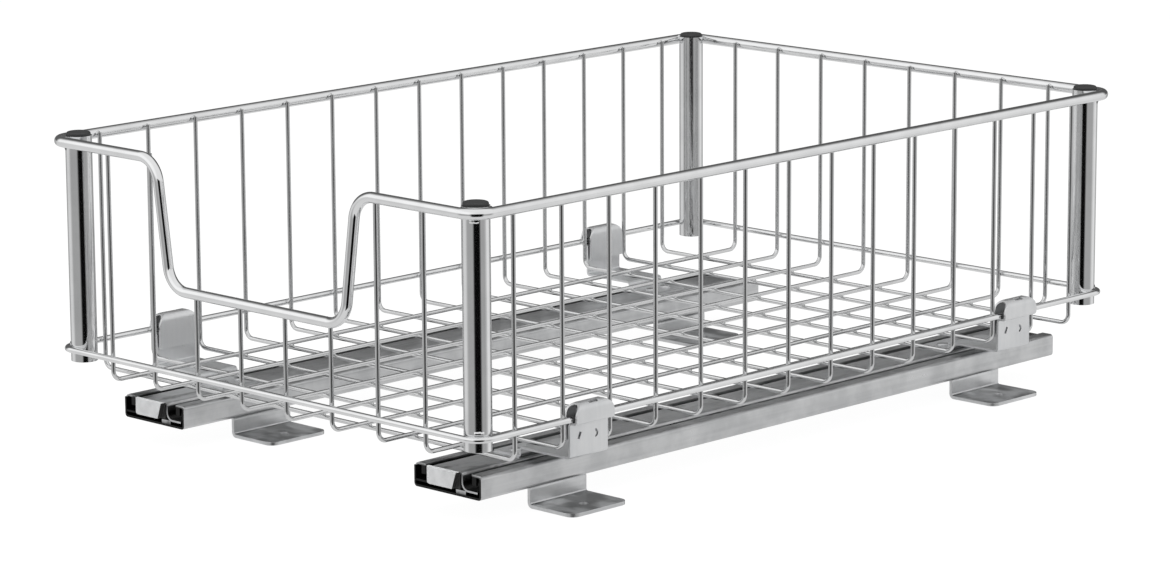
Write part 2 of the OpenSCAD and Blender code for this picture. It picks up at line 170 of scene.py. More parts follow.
def flatCard(name, places):
    mesh = bpy.data.meshes.new(name)
    mesh.from_pydata(places, [], [range(len(places))])
    card = bpy.data.objects.new(name, mesh)
    bpy.context.scene.collection.objects.link(card)
    return card


def newMaterial(name):
    material = bpy.data.materials.new(name)
    material.use_nodes = True
    material.node_tree.nodes.clear()
    return material, material.node_tree


def makeFloor():
    half, z = stage["floorHalf"], -stage["floorDepth"]
    places = [(-half, -half, z), (half, -half, z), (half, half, z), (-half, half, z)]
    floor = flatCard("floor", places)
    floor.visible_glossy = False
    material, tree = newMaterial("paleFloor")
    isCamera = addNode(tree, "ShaderNodeLightPath", output="Is Camera Ray")
    paper = addNode(tree, "ShaderNodeBsdfDiffuse", None, {"Color": grey(stage["floorAlbedo"])})
    shaded = addNode(tree, "ShaderNodeBsdfDiffuse", None, {"Color": grey(stage["shadowShare"])})
    glow = addNode(tree, "ShaderNodeEmission", None, {"Color": grey(1), "Strength": stage["floorGlow"]})
    seen = addNode(tree, "ShaderNodeAddShader", None, {0: shaded, 1: glow})
    mixed = addNode(tree, "ShaderNodeMixShader", None, {0: isCamera, 1: paper, 2: seen})
    addNode(tree, "ShaderNodeOutputMaterial", None, {"Surface": mixed}, None)
    floor.data.materials.append(material)


def makeFlag():
    # Only reflections see it, as a dark strip down the posts, the upright wires and the sides of the dip
    x, y = stage["flagPlace"]
    out = Vector((x, y)).normalized()
    side = Vector((-out.y, out.x)) * stage["flagWidth"] / 2
    low, high = stage["flagLow"], stage["flagHigh"]
    ends = [(x - side.x, y - side.y), (x + side.x, y + side.y)]
    places = [(*ends[0], low), (*ends[1], low), (*ends[1], high), (*ends[0], high)]
    flag = flatCard("blackFlag", places)
    for ray in ("camera", "diffuse", "transmission", "volume_scatter", "shadow"):
        setattr(flag, "visible_" + ray, False)
    material, tree = newMaterial("flagCloth")
    coords = addNode(tree, "ShaderNodeTexCoord", output="Object")
    across = {0: coords, 1: (*side.normalized(), 0)}
    offset = addNode(tree, "ShaderNodeVectorMath", {"operation": "DOT_PRODUCT"}, across, "Value")
    offset = offset - Vector((x, y)).dot(side.normalized())
    dark = (offset.math("ABSOLUTE") * (2 / stage["flagWidth"])).ramp(1.0, 1 - stage["flagSoft"])
    cloth = addNode(tree, "ShaderNodeBsdfDiffuse", None, {"Color": grey(stage["flagAlbedo"])})
    clear = addNode(tree, "ShaderNodeBsdfTransparent")
    mixed = addNode(tree, "ShaderNodeMixShader", None, {0: dark, 1: clear, 2: cloth})
    addNode(tree, "ShaderNodeOutputMaterial", None, {"Surface": mixed}, None)
    flag.data.materials.append(material)


lamps = {
    "overhead": {"place": (0.2, -0.3, 1.5), "size": 1.6, "watts": 16},
    "leftFill": {"place": (-1.5, -0.9, 0.8), "size": 1.2, "watts": 7},
    "rightFill": {"place": (1.4, 0.9, 0.9), "size": 1.2, "watts": 8},
}


def makeLamps():
    for name, lamp in lamps.items():
        data = bpy.data.lights.new(name, "AREA")
        data.size = lamp["size"]
        data.energy = lamp["watts"]
        made = bpy.data.objects.new(name, data)
        bpy.context.scene.collection.objects.link(made)
        place = Vector(lamp["place"])
        made.matrix_world = Matrix.Translation(place) @ place.to_track_quat("Z", "Y").to_matrix().to_4x4()
        made.visible_glossy = False


# A pair of numbers says where a part of the studio starts and where it is full, as a share of the way
# to the camera, to the right or straight up
studio = {
    "toCamera": (0.6943, -0.7196, 0.0),
    "toRight": (0.7179, 0.6962, 0.0),  # to the right of the picture
    "diffuseLevel": 0.62,
    "hallLevel": 0.42,  # dim surroundings just below the horizon
    "rightStrip": 0.45,  # how much brighter the hall is at each side of the camera
    "leftStrip": 0.35,
    "stripFront": (0.38, -0.1),
    "stripBack": (-0.75, -0.4),
    "stripAside": 0.3,
    "wallLevel": 0.92,
    "wallFoot": (-0.08, 0.22),
    "leftWall": 0.2,  # how much brighter the wall on the left is
    "leftWallAside": (0.2, -0.6),
    "tableLevel": 0.78,
    "tableEdge": (-0.28, -0.5),
    "skyLevel": 0.95,
    "skyFoot": (0.6, 0.9),
    "backShade": 0.88,  # how much darker the wall behind is, above the horizon
    "backAcross": (0.22, 0.62),
    "backFoot": (-0.03, 0.1),
    "backTop": (0.94, 0.6),
}


def blend(first, second, share):
    return first * (1 - share) + second * share


def makeWorld():
    world = bpy.data.worlds.new("studio")
    bpy.context.scene.world = world
    world.use_nodes = True
    tree = world.node_tree
    tree.nodes.clear()
    path = addNode(tree, "ShaderNodeLightPath").socket.node
    isCamera = Wire(tree, path.outputs["Is Camera Ray"])
    isDiffuse = Wire(tree, path.outputs["Is Diffuse Ray"])
    way = addNode(tree, "ShaderNodeTexCoord", output="Generated")
    dot = {"operation": "DOT_PRODUCT"}
    front = addNode(tree, "ShaderNodeVectorMath", dot, {0: way, 1: studio["toCamera"]}, "Value")
    side = addNode(tree, "ShaderNodeVectorMath", dot, {0: way, 1: studio["toRight"]}, "Value")
    up = addNode(tree, "ShaderNodeSeparateXYZ", None, {0: way}, "Z")
    beside = front.ramp(*studio["stripFront"]) * front.ramp(*studio["stripBack"])
    rightStrip = beside * side.ramp(0.0, studio["stripAside"]) * studio["rightStrip"]
    leftStrip = beside * side.ramp(0.0, -studio["stripAside"]) * studio["leftStrip"]
    hall = rightStrip + leftStrip + studio["hallLevel"]
    walls = side.ramp(*studio["leftWallAside"]) * studio["leftWall"] + studio["wallLevel"]
    level = blend(hall, walls, up.ramp(*studio["wallFoot"]))
    level = blend(level, studio["tableLevel"], up.ramp(*studio["tableEdge"]))
    level = blend(level, studio["skyLevel"], up.ramp(*studio["skyFoot"]))
    behind = (0 - front).ramp(*studio["backAcross"]) * up.ramp(*studio["backFoot"])
    behind = behind * up.ramp(*studio["backTop"])
    level = level * (1 - behind * studio["backShade"])
    level = blend(level, studio["diffuseLevel"], isDiffuse)
    level = blend(level, 1.0, isCamera)
    background = addNode(tree, "ShaderNodeBackground", None, {"Color": grey(1), "Strength": level})
    addNode(tree, "ShaderNodeOutputWorld", None, {"Surface": background}, None)


scene = bpy.context.scene
scene.view_settings.view_transform = "Standard"
makeCamera()
makeFloor()
makeFlag()
makeLamps()
makeWorld()
print("camera, floor, lamps and world are in place")


# Materials

def objectCoords(tree, scale=(1, 1, 1), turn=(0, 0, 0)):
    coords = addNode(tree, "ShaderNodeTexCoord", output="Object")
    inputs = {"Vector": coords, "Scale": scale, "Rotation": turn}
    return addNode(tree, "ShaderNodeMapping", None, inputs)


def noise(tree, vector, scale, detail=3.0, rough=0.55):
    inputs = {"Vector": vector, "Scale": scale, "Detail": detail, "Roughness": rough}
    return addNode(tree, "ShaderNodeTexNoise", None, inputs)


def finishMaterial(tree, fixed, varied, height, bumpDepth):
    # fixed holds plain values, varied holds what changes over the surface
    raised = {"Height": height, "Distance": bumpDepth, "Strength": 1.0}
    bump = addNode(tree, "ShaderNodeBump", None, raised)
    inputs = {**fixed, **varied, "Normal": bump}
    shader = addNode(tree, "ShaderNodeBsdfPrincipled", None, inputs)
    addNode(tree, "ShaderNodeOutputMaterial", None, {"Surface": shader}, None)


# A span says at which values of its noise a mark starts and where it is full; a shade is the brightness of a
# mark against the rest
plating = {
    "cloudScale": 55,
    "cloudSpan": (0.35, 0.7),
    "cloudShade": 0.93,
    "dullSpan": (0.4, 0.75),
    "speckScale": 1400,
    "speckSpan": (0.55, 0.75),
    "speckShare": 0.4,  # share of the specks in what dulls the chrome
    "lineHeight": 0.6,
    "rippleScale": 170,
    "patchScale": 48,
    "patchSpan": (0.36, 0.66),
    "patchHeight": 2.0,
    "streakSpan": (0.35, 0.68),
    "streakShare": 0.35,  # share of the streaks in the zinc's patches
    "grainScale": 2600,
    "grainSpan": (0.4, 0.7),
    "grainRough": 0.04,
    "grainHeight": 0.2,
    "scuffStretch": 0.35,  # scale of the scuffs against the rolled streaks
    "scuffSpan": (0.64, 0.74),
    "scuffShare": 0.25,
    "scuffShade": 0.7,
    "stainScale": (44, 80, 60),
    "stainTurn": (0, 0, 0.5),
    "stainSpan": (0.37, 0.6),
    "stainShade": 0.25,
    "upSpan": (0.6, 0.95),  # how far a face has to point up to get stains and painted shade
    "bump": 0.012 * mm,
}


def chrome(name, level, tint, rough, drawn, ripple=2.4):
    # Bright plating: faint clouds in the shine, fine lines along the drawn stock, soft ripples
    material, tree = newMaterial(name)
    clouds = noise(tree, objectCoords(tree), plating["cloudScale"])
    specks = noise(tree, objectCoords(tree), plating["speckScale"], 2.0)
    lines = noise(tree, objectCoords(tree, drawn), 1.0, 2.0)
    ripples = noise(tree, objectCoords(tree), plating["rippleScale"], 1.0)
    dullGrey = grey(level * plating["cloudShade"], tint)
    colour = mixColours(tree, clouds.ramp(*plating["cloudSpan"]), grey(level, tint), dullGrey)
    specks = specks.ramp(*plating["speckSpan"])
    dull = blend(clouds.ramp(*plating["dullSpan"]), specks, plating["speckShare"])
    varied = {"Base Color": colour, "Roughness": dull * rough[1] + rough[0]}
    height = lines * plating["lineHeight"] + ripples * ripple
    finishMaterial(tree, {"Metallic": 1.0}, varied, height, plating["bump"])
    return material


def zinc(name, level, rolled, rough, blotch, greased=False, stain=0.0):
    # Zinc plate: cloudy patches, streaks along the rolling direction, small scuffs and, if asked, stains with
    # painted shade on the faces that point up
    material, tree = newMaterial(name)
    patches = noise(tree, objectCoords(tree), plating["patchScale"], 4.0, 0.6)
    streaks = noise(tree, objectCoords(tree, rolled), 1.0, 3.0, 0.6)
    grain = noise(tree, objectCoords(tree), plating["grainScale"], 2.0)
    scuffed = [v * plating["scuffStretch"] for v in rolled]
    scuffs = noise(tree, objectCoords(tree, scuffed), 1.0, 5.0, 0.75).ramp(*plating["scuffSpan"])
    patchy = patches.ramp(*plating["patchSpan"])
    patchy = blend(patchy, streaks.ramp(*plating["streakSpan"]), plating["streakShare"])
    colour = mixColours(tree, patchy, grey(level, 0.008), grey(level * (1 - blotch), 0.014))
    scuffGrey = grey(level * plating["scuffShade"], 0.02)
    colour = mixColours(tree, scuffs * plating["scuffShare"], colour, scuffGrey)
    if stain:
        # Dark stains and painted shade, only on the faces that point up
        normal = addNode(tree, "ShaderNodeNewGeometry", output="Normal")
        upwards = addNode(tree, "ShaderNodeSeparateXYZ", None, {0: normal}, "Z").ramp(*plating["upSpan"])
        coords = objectCoords(tree, plating["stainScale"], plating["stainTurn"])
        stainAndShadeMask = noise(tree, coords, 1.0, 2.0, 0.45).ramp(*plating["stainSpan"])
        stainAndShadeGrey = grey(level * plating["stainShade"], 0.01)
        colour = mixColours(tree, stainAndShadeMask * upwards * stain, colour, stainAndShadeGrey)
    grainy = grain.ramp(*plating["grainSpan"]) * plating["grainRough"]
    roughness = patchy * rough[1] + grainy + rough[0]
    height = streaks + grain * plating["grainHeight"] + patches * plating["patchHeight"]
    if greased:
        colour, roughness = greaseAndShadeOver(tree, colour, roughness)
    varied = {"Base Color": colour, "Roughness": roughness}
    finishMaterial(tree, {"Metallic": 1.0}, varied, height, plating["bump"])
    return material


def greaseAndShadeOver(tree, colour, roughness):
    # Black grease and painted shade where the faces are marked, thickest near the front; half marked faces
    # get smears
    greaseAndShadeMask = addNode(tree, "ShaderNodeAttribute", {"attribute_name": "grease"}, None, "Fac")
    along = addNode(tree, "ShaderNodeSeparateXYZ", None, {0: objectCoords(tree)}, "Y")
    behindFront = along - slides["frontY"]
    smear = noise(tree, objectCoords(tree, slides["smearScale"]), 1.0, 4.0, 0.6)
    smear = smear.ramp(*slides["smearSpan"], *slides["smearPower"])
    thin = behindFront.ramp(slides["thickTo"], slides["thinFrom"], 1.0, slides["thinShare"])
    # thick is the share of black, for the grease and the painted shade alike
    thick = greaseAndShadeMask.math("POWER", smear) * thin
    colour = mixColours(tree, thick, colour, grey(slides["greaseLevel"]))
    return colour, blend(roughness, slides["greaseRough"], thick)


moulding = {
    "flowScale": 120,
    "flowSpan": (0.4, 0.7),
    "flowShade": 0.86,
    "flowRoughSpan": (0.35, 0.7),
    "flowRough": 0.12,
    "grainRough": 0.08,
}


def plastic(name, level, rough, grainSize, grainDepth, shine=0.5, greased=False):
    # Moulded plastic: fine spark-eroded grain and faint flow marks
    material, tree = newMaterial(name)
    flow = noise(tree, objectCoords(tree), moulding["flowScale"])
    grain = noise(tree, objectCoords(tree), grainSize, 2.0)
    darker = grey(level * moulding["flowShade"], 0.01)
    colour = mixColours(tree, flow.ramp(*moulding["flowSpan"]), grey(level, 0.01), darker)
    flowRough = flow.ramp(*moulding["flowRoughSpan"]) * moulding["flowRough"]
    roughness = flowRough + grain * moulding["grainRough"] + rough
    if greased:
        colour, roughness = greaseAndShadeOver(tree, colour, roughness)
    fixed = {"Metallic": 0.0, "Specular IOR Level": shine}
    finishMaterial(tree, fixed, {"Base Color": colour, "Roughness": roughness}, grain, grainDepth)
    return material


slides = {
    "frontY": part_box("right_outer_slide")[0].y,
    # black of the grease and of the painted shade
    "greaseLevel": 0.028,
    "greaseRough": 0.42,
    "smearScale": (110, 38, 110),
    "smearSpan": (0.35, 0.65),
    "smearPower": (0.25, 2.6),  # the marks are raised to powers between these
    "thickTo": 20 * mm,  # the grease and painted shade thin between these distances behind the front ends
    "thinFrom": 90 * mm,
    "thinShare": 0.4,
}

# chrome: brightness, tint, least roughness and its spread, scale of the drawn lines, ripple
# zinc: brightness, scale of the rolled streaks, least roughness and its spread, depth of the patches
# plastic: brightness, roughness, scale and depth of the grain, shine
finishes = {
    "chromed_rod": chrome("chromedRod", 0.80, 0.006, (0.055, 0.07), (260, 260, 260)),
    # the wire's plating is set darker than the rod's, a painted shade for the wires down in the basket
    "chromed_wire": chrome("chromedWire", 0.69, 0.006, (0.07, 0.08), (420, 420, 420)),
    "chromed_tube": chrome("chromedTube", 0.80, 0.006, (0.1, 0.06), (900, 900, 14), 1.1),
    "cap_plastic": plastic("capPlastic", 0.030, 0.4, 1500, 0.02 * mm, 0.32),
    "bracket_zinc": zinc("bracketZinc", 0.78, (420, 420, 30), (0.38, 0.1), 0.06),
    "slide_zinc": zinc("slideZinc", 0.64, (420, 9, 420), (0.27, 0.12), 0.2, True),
    # the feet get dark stains with painted shade on their upward faces
    "foot_zinc": zinc("footZinc", 0.72, (420, 24, 420), (0.3, 0.12), 0.2, stain=0.9),
    "rivet_zinc": zinc("rivetZinc", 0.66, (600, 600, 600), (0.24, 0.1), 0.08),
    "block_plastic": plastic("blockPlastic", 0.70, 0.42, 1300, 0.025 * mm, greased=True),
    "bumper_rubber": plastic("bumperRubber", 0.026, 0.62, 900, 0.05 * mm),
    "retainer_steel": zinc("retainerSteel", 0.5, (500, 20, 500), (0.28, 0.12), 0.1),
    "ball_steel": chrome("ballSteel", 0.7, 0.004, (0.06, 0.05), (500, 500, 500)),
}
print("materials:", len(finishes))


# Geometry Nodes trees

def newTree(name, sockets):
    # sockets: (name, socket type, value) of each input after the geometry
    tree = bpy.data.node_groups.new(name, "GeometryNodeTree")
    tree.interface.new_socket("Geometry", in_out="INPUT", socket_type="NodeSocketGeometry")
    for label, kind, value in sockets:
        socket = tree.interface.new_socket(label, in_out="INPUT", socket_type="NodeSocket" + kind)
        if value is not None:
            socket.default_value = value
    tree.interface.new_socket("Geometry", in_out="OUTPUT", socket_type="NodeSocketGeometry")
    given = tree.nodes.new("NodeGroupInput")
    return tree, {s.name: Wire(tree, s) for s in given.outputs if s.name}


def closeTree(tree, geometry, material):
    real = addNode(tree, "GeometryNodeRealizeInstances", None, {"Geometry": geometry})
    painted = addNode(tree, "GeometryNodeSetMaterial", None, {"Geometry": real, "Material": material})
    addNode(tree, "NodeGroupOutput", None, {"Geometry": painted}, None)


def grownMesh(name, tree, base, values):
    # Runs a tree on a base mesh and gives back the plain mesh
    holder = bpy.data.objects.new(name, base)
    bpy.context.scene.collection.objects.link(holder)
    modifier = holder.modifiers.new("grow", "NODES")
    modifier.node_group = tree
    idents = {i.name: i.identifier for i in tree.interface.items_tree if i.in_out == "INPUT"}
    for label, value in values.items():
        modifier[idents[label]] = value
    holder.update_tag()
    graph = bpy.context.evaluated_depsgraph_get()
    mesh = bpy.data.meshes.new_from_object(holder.evaluated_get(graph), depsgraph=graph)
    mesh.name = name
    bpy.data.objects.remove(holder)
    return mesh


def addPiece(name, mesh, body, slot, replaced=()):
    piece = bpy.data.objects.new(name, mesh)
    bpy.context.scene.collection.objects.link(piece)
    if not mesh.materials:
        mesh.materials.append(finishes[slot])
    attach(piece, body)
    if replaced:
        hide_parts(*replaced)


def pointValue(tree, label, kind="FLOAT"):
    settings = {"data_type": kind}
    return addNode(tree, "GeometryNodeInputNamedAttribute", settings, {"Name": label})


def rodTree():
    # A round rod along the base mesh's edges; the points carry their bend radius and thickness
    sockets = [("Diameter", "Float", 0.003), ("Sides", "Int", 20), ("Bend Steps", "Int", 10),
               ("Material", "Material", None)]
    tree, given = newTree("rodAlongPath", sockets)
    bend = pointValue(tree, "bendRadius")
    thick = pointValue(tree, "thickness")
    line = addNode(tree, "GeometryNodeMeshToCurve", None, {"Mesh": given["Geometry"]})
    fillet = tree.nodes.new("GeometryNodeFilletCurve")
    fillet.mode = "POLY"
    for label, value in {"Curve": line, "Count": given["Bend Steps"], "Radius": bend}.items():
        tree.links.new(value.socket, fillet.inputs[label])
    curve = Wire(tree, fillet.outputs[0])
    curve = addNode(tree, "GeometryNodeSetCurveRadius", None, {"Curve": curve, "Radius": thick})
    radius = given["Diameter"] * 0.5
    ring = addNode(tree, "GeometryNodeCurvePrimitiveCircle", None,
                   {"Resolution": given["Sides"], "Radius": radius})
    swept = addNode(tree, "GeometryNodeCurveToMesh", None,
                    {"Curve": curve, "Profile Curve": ring, "Fill Caps": True})
    closeTree(tree, swept, given["Material"])
    return tree


def copiesTree():
    # One object on each point of the base mesh in the point's own size, turned and sized a little at random
    sockets = [("Copied", "Object", None), ("Turn", "Float", 0.0), ("Tilt", "Float", 0.0),
               ("Size Spread", "Float", 0.0), ("Seed", "Int", 7), ("Material", "Material", None)]
    tree, given = newTree("copiesOnPoints", sockets)
    copied = addNode(tree, "GeometryNodeObjectInfo", None, {"Object": given["Copied"]}, "Geometry")
    size = pointValue(tree, "copySize", "FLOAT_VECTOR")
    spread = {"Min": 1 - given["Size Spread"], "Max": 1 + given["Size Spread"], "Seed": given["Seed"]}
    factor = randomFloat(tree, spread)
    scale = addNode(tree, "ShaderNodeVectorMath", {"operation": "SCALE"}, {"Vector": size, "Scale": factor})
    turns = [randomFloat(tree, {"Min": 0 - given[label], "Max": given[label], "Seed": given["Seed"] + step})
             for step, label in enumerate(("Tilt", "Tilt", "Turn"), 1)]
    euler = addNode(tree, "ShaderNodeCombineXYZ", None, dict(enumerate(turns)))
    placed = addNode(tree, "GeometryNodeInstanceOnPoints", None,
                     {"Points": given["Geometry"], "Instance": copied, "Rotation": euler, "Scale": scale})
    closeTree(tree, placed, given["Material"])
    return tree


def randomFloat(tree, inputs):
    node = tree.nodes.new("FunctionNodeRandomValue")
    node.data_type = "FLOAT"
    sockets = {s.name: s for s in node.inputs if s.enabled}
    for label, value in inputs.items():
        if isinstance(value, Wire):
            tree.links.new(value.socket, sockets[label])
        else:
            sockets[label].default_value = value
    return Wire(tree, next(s for s in node.outputs if s.enabled))


def seamTree():
    # A rippled weld seam along the base mesh's edges
    sockets = [("Width", "Float", 0.0015), ("Ripple", "Float", 0.2), ("Ripple Scale", "Float", 900.0),
               ("Material", "Material", None)]
    tree, given = newTree("weldSeam", sockets)
    line = addNode(tree, "GeometryNodeMeshToCurve", None, {"Mesh": given["Geometry"]})
    along = addNode(tree, "GeometryNodeSplineParameter", output="Factor")
    taper = (along * (1 - along) * 4).math("POWER", 0.35)
    line = addNode(tree, "GeometryNodeSetCurveRadius", None, {"Curve": line, "Radius": taper})
    ring = addNode(tree, "GeometryNodeCurvePrimitiveCircle", None,
                   {"Resolution": 10, "Radius": given["Width"] * 0.5})
    swept = addNode(tree, "GeometryNodeCurveToMesh", None,
                    {"Curve": line, "Profile Curve": ring, "Fill Caps": True})
    normal = addNode(tree, "GeometryNodeInputNormal")
    bumps = addNode(tree, "ShaderNodeTexNoise", None, {"Scale": given["Ripple Scale"], "Detail": 1.0})
    push = (bumps - 0.5) * given["Ripple"] * given["Width"]
    offset = addNode(tree, "ShaderNodeVectorMath", {"operation": "SCALE"}, {"Vector": normal, "Scale": push})
    moved = addNode(tree, "GeometryNodeSetPosition", None, {"Geometry": swept, "Offset": offset})
    closeTree(tree, moved, given["Material"])
    return tree


rodAlongPath = rodTree()
copiesOnPoints = copiesTree()
weldSeam = seamTree()


def pathMesh(name, points, bends, thickness, closed=False):
    # Edges through the points, with each point's bend radius and thickness as attributes
    count = len(points)
    edges = [(i, (i + 1) % count) for i in range(count if closed else count - 1)]
    mesh = bpy.data.meshes.new(name)
    mesh.from_pydata(points, edges, [])
    for label, values in (("bendRadius", bends), ("thickness", thickness)):
        mesh.attributes.new(label, "FLOAT", "POINT").data.foreach_set("value", values)
    return mesh


def pointMesh(name, places, sizes):
    mesh = bpy.data.meshes.new(name)
    mesh.from_pydata(places, [], [])
    flat = [v for size in sizes for v in size]
    mesh.attributes.new("copySize", "FLOAT_VECTOR", "POINT").data.foreach_set("vector", flat)
    return mesh


def smoothShade(mesh, angle):
    mesh.shade_smooth()
    mesh.set_sharp_from_angle(angle=math.radians(angle))


# Rods and wires

rods = {
    "rim": {"diameter": 5.7 * mm, "sides": 32, "bendSteps": 18, "slot": "chromed_rod"},
    "ring": {"diameter": 3.3 * mm, "sides": 24, "bendSteps": 14, "slot": "chromed_rod"},
    "wire": {"diameter": 2.4 * mm, "sides": 18, "bendSteps": 9, "slot": "chromed_wire"},
    "wireBend": 5 * mm,
    "dipBend": 14 * mm,
    "dipTopHalf": 76 * mm,
    "dipFloorHalf": 66.5 * mm,
    "tipHeight": 0.45,  # height of a cut end's rounding, as a share of the radius
    "tipSteps": 4,
    "tipLeast": 0.05,  # thickness at the very tip
    "sharpAngle": 50,
}


def spanOf(node):
    low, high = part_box(node)
    return low, high, (low + high) / 2


def roundedEnds(points, radius):
    # More points near each end, where the rod closes in a low dome
    out, thickness = [], []
    turns = [k * math.pi / 2 / rods["tipSteps"] for k in range(rods["tipSteps"] + 1)]
    for a, b, flip in ((points[0], points[1], False), (points[-1], points[-2], True)):
        way = (b - a).normalized() * radius * rods["tipHeight"]
        ends = [(a + way * (1 - math.cos(t)), max(math.sin(t), rods["tipLeast"])) for t in turns]
        ends = ends[::-1] if flip else ends
        out.append([p for p, _ in ends])
        thickness.append([t for _, t in ends])
    inner = points[1:-1]
    return out[0] + inner + out[1], thickness[0] + [1.0] * len(inner) + thickness[1]


def addRod(kind, name, node, points, bends, thickness, closed=False):
    rod = rods[kind]
    base = pathMesh(name, points, bends, thickness, closed)
    values = {"Diameter": rod["diameter"], "Sides": rod["sides"], "Bend Steps": rod["bendSteps"],
              "Material": finishes[rod["slot"]]}
    mesh = grownMesh(name, rodAlongPath, base, values)
    smoothShade(mesh, rods["sharpAngle"])
    addPiece(name, mesh, "basket", rod["slot"], [node])


def uprightWire(node, name, alongX):
    # Down one side, along the floor and up the other side, in the node's own box
    low, high, middle = spanOf(node)

    def at(along, z):
        return Vector((along, middle.y, z)) if alongX else Vector((middle.x, along, z))

    start, end = (low.x + wireR, high.x - wireR) if alongX else (low.y + wireR, high.y - wireR)
    startTop = high.z
    if not alongX and abs(middle.x) < rods["dipFloorHalf"]:
        startTop = dipFloorZ + wireEndRise
    floorZ = low.z + wireR
    path = [at(start, startTop), at(start, floorZ), at(end, floorZ), at(end, high.z)]
    points, thickness = roundedEnds(path, wireR)
    tip = rods["tipSteps"] + 1
    bends = [0.0] * tip + [rods["wireBend"]] * (len(points) - 2 * tip) + [0.0] * tip
    addRod("wire", name, node, points, bends, thickness)


rimLow, rimHigh, _ = spanOf("top_rim")
_, ringHigh, ringMiddle = spanOf("base_ring")
postLow, postHigh, postMiddle = spanOf("rear_right_post")
rimR, ringR, wireR = (rods[kind]["diameter"] / 2 for kind in ("rim", "ring", "wire"))
rimZ, ringZ = rimHigh.z - rimR, ringMiddle.z
dipFloorZ = rimLow.z + rimR
crossNames = [n for n in frame["nodes"] if n.startswith("cross_wire_")]
longNames = [n for n in frame["nodes"] if n.startswith("long_wire_")]
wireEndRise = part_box(crossNames[0])[1].z - rimZ


def makeRim():
    # Round the four posts, with the dip in the front
    x, y = rimHigh.x - rimR, rimHigh.y - rimR
    top, low = rods["dipTopHalf"], rods["dipFloorHalf"]
    points = [(x, -y, rimZ), (x, y, rimZ), (-x, y, rimZ), (-x, -y, rimZ),
              (-top, -y, rimZ), (-low, -y, dipFloorZ), (low, -y, dipFloorZ), (top, -y, rimZ)]
    bends = [x - postMiddle.x] * 4 + [rods["dipBend"]] * 4
    addRod("rim", "topRim", "top_rim", points, bends, [1.0] * 8, True)


def makeRing():
    x, y = ringHigh.x - ringR, ringHigh.y - ringR
    points = [(x, -y, ringZ), (x, y, ringZ), (-x, y, ringZ), (-x, -y, ringZ)]
    addRod("ring", "baseRing", "base_ring", points, [x - postMiddle.x] * 4, [1.0] * 4, True)


makeRim()
makeRing()
for node in crossNames:
    uprightWire(node, "crossWire_" + node[-2:], True)
for node in longNames:
    uprightWire(node, "longWire_" + node[-1:], False)
print("rods and wires:", 2 + len(crossNames) + len(longNames))


# Weld beads at every crossing

beads = {
    "squash": 0.62,  # half thickness of a bead across the joint, in wire radii
    "reach": 1.28,  # half width along the joint, in wire radii
    "sizeSpread": 0.14,
    "tilt": 0.12,
    "seed": 11,
    "around": 10,
    "rings": 6,
}


def beadMesh():
    made = bmesh.new()
    bmesh.ops.create_uvsphere(made, u_segments=beads["around"], v_segments=beads["rings"], radius=1.0)
    mesh = bpy.data.meshes.new("bead")
    made.to_mesh(mesh)
    made.free()
    mesh.shade_smooth()
    return mesh


def contactPoints():
    # Where wires cross each other, the base ring and the top rim: (place, axis across the joint)
    found = []
    lowCross, highCross, _ = spanOf(crossNames[0])
    floorTouch = (lowCross.z + 2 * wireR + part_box(longNames[0])[0].z) / 2
    sideX, endY = highCross.x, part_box(longNames[0])[1].y
    crossYs = [spanOf(n)[2].y for n in crossNames]
    longXs = [spanOf(n)[2].x for n in longNames]
    found += [((x, y, floorTouch), 2) for x in longXs for y in crossYs]
    for z in (ringZ, rimZ):
        found += [((s * sideX, y, z), 0) for s in (-1, 1) for y in crossYs]
        found += [((x, endY, z), 1) for x in longXs]
    found += [((x, -endY, ringZ), 1) for x in longXs]
    inDip = [(x, dipFloorZ if abs(x) < rods["dipFloorHalf"] else rimZ) for x in longXs]
    found += [((x, -endY, z), 1) for x, z in inDip]
    return found


def makeBeads():
    places, sizes = [], []
    for place, across in contactPoints():
        size = [beads["reach"] * wireR] * 3
        size[across] = beads["squash"] * wireR
        places.append(place)
        sizes.append(size)
    bead = bpy.data.objects.new("bead", beadMesh())
    bpy.context.scene.collection.objects.link(bead)
    values = {"Copied": bead, "Turn": beads["tilt"], "Tilt": beads["tilt"],
              "Size Spread": beads["sizeSpread"], "Seed": beads["seed"], "Material": finishes["chromed_wire"]}
    mesh = grownMesh("weldBeads", copiesOnPoints, pointMesh("weldPoints", places, sizes), values)
    bpy.data.objects.remove(bead)
    addPiece("weldBeads", mesh, "basket", "chromed_wire")
    print("weld beads:", len(places))


# over: how far a seam's middle is above the rod's, in rod radii and in seam widths
# sunk: how deep it lies in the post, in seam widths
# drift: its turn from the corner's outward line, in degrees
seams = {
    "underRim": {"width": 3.6 * mm, "over": (-1, -0.3), "sunk": 0.36, "halfAngle": 19, "drift": -6},
    "overRim": {"width": 2.2 * mm, "over": (0.62, 0), "sunk": -0.35, "halfAngle": 66, "drift": 4},
    "overRing": {"width": 3.4 * mm, "over": (1, 0.3), "sunk": 0.36, "halfAngle": 20, "drift": 5},
}
seamFinish = {"steps": 14, "ripple": 0.24, "rippleScale": 700.0}


def seamArc(seam, sx, sy, z):
    # Points of one seam, round the outer side of the post at the corner (sx, sy)
    radius = (postHigh.x - postLow.x) / 2 - seam["width"] * seam["sunk"]
    out = math.degrees(math.atan2(sy, sx)) + seam["drift"] * sx
    points = []
    for k in range(seamFinish["steps"] + 1):
        angle = math.radians(out + seam["halfAngle"] * (2 * k / seamFinish["steps"] - 1))
        points.append((sx * postMiddle.x + radius * math.cos(angle),
                       sy * postMiddle.y + radius * math.sin(angle), z))
    return points


